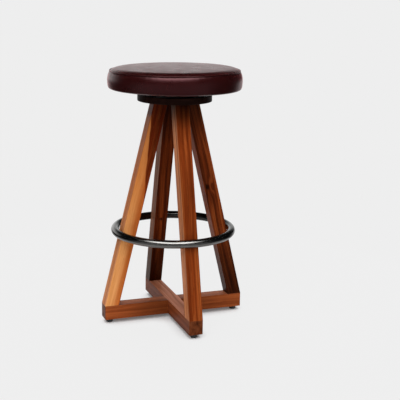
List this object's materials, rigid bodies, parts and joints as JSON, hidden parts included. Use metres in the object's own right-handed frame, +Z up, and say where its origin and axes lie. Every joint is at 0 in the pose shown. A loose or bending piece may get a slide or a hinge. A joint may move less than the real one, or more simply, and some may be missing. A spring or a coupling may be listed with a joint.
{
  "type": "swivel bar stool",
  "caption": "Round upholstered swivel bar stool on splayed square walnut legs, with crossed base rails, a round steel foot ring and a flat mounting disc under the seat.",
  "frame": {"origin": "on the floor, under the middle of the seat, on the axis the seat turns about", "axes": "+Z up along the seat's axis; the two base rails lie along X and Y, and the front leg is at -Y"},
  "size_m": [0.436, 0.436, 0.765],
  "materials": {
    "walnut": "walnut, satin lacquer over straight grain",
    "dowel_wood": "plain beech, unfinished",
    "screw_steel": "zinc plated",
    "glide_plastic": "black moulded nylon",
    "ring_steel": "dark gunmetal, polished",
    "disc_wood": "black stain, satin",
    "plate_steel": "black, satin",
    "bearing_steel": "bright steel",
    "cage_plastic": "dark nylon",
    "board_wood": "plain plywood",
    "foam": "upholstery foam",
    "cover_leather": "dark oxblood, smooth, satin",
    "dust_cloth": "black woven cloth"
  },
  "bodies": {
    "base": {"leg_right": "walnut", "leg_back": "walnut", "leg_left": "walnut", "leg_front": "walnut", "rail_left_right": "walnut", "rail_front_back": "walnut", "ring_plugs": "walnut", "foot_dowels": "dowel_wood", "lap_screw": "screw_steel", "glide_screws": "screw_steel", "ring_screws": "screw_steel", "disc_screws": "screw_steel", "swivel_bottom_screws": "screw_steel", "glide_right": "glide_plastic", "glide_back": "glide_plastic", "glide_left": "glide_plastic", "glide_front": "glide_plastic", "foot_ring": "ring_steel", "mounting_disc": "disc_wood", "swivel_bottom_plate": "plate_steel", "pivot_rivet": "bearing_steel", "pivot_washer": "bearing_steel"},
    "ball_set": {"ball_cage": "cage_plastic", "swivel_balls": "bearing_steel"},
    "seat": {"seat_board": "board_wood", "seat_foam": "foam", "seat_cover_top": "cover_leather", "seat_cover_band": "cover_leather", "seat_welt": "cover_leather", "dust_cover": "dust_cloth", "cover_staples": "bearing_steel", "swivel_top_plate": "plate_steel", "swivel_top_screws": "screw_steel"}
  },
  "joints": [
    {"name": "seat_swivel", "type": "hinge", "parent": "base", "child": "seat", "pos_m": [0, 0, 0.6925], "axis": [0, 0, 1], "continuous": true},
    {"name": "ball_roll", "type": "hinge", "parent": "base", "child": "ball_set", "pos_m": [0, 0, 0.6925], "axis": [0, 0, 1], "continuous": true}
  ],
  "couplings": [
    {"joint": "ball_roll", "follows": "seat_swivel", "ratio": 0.5}
  ]
}
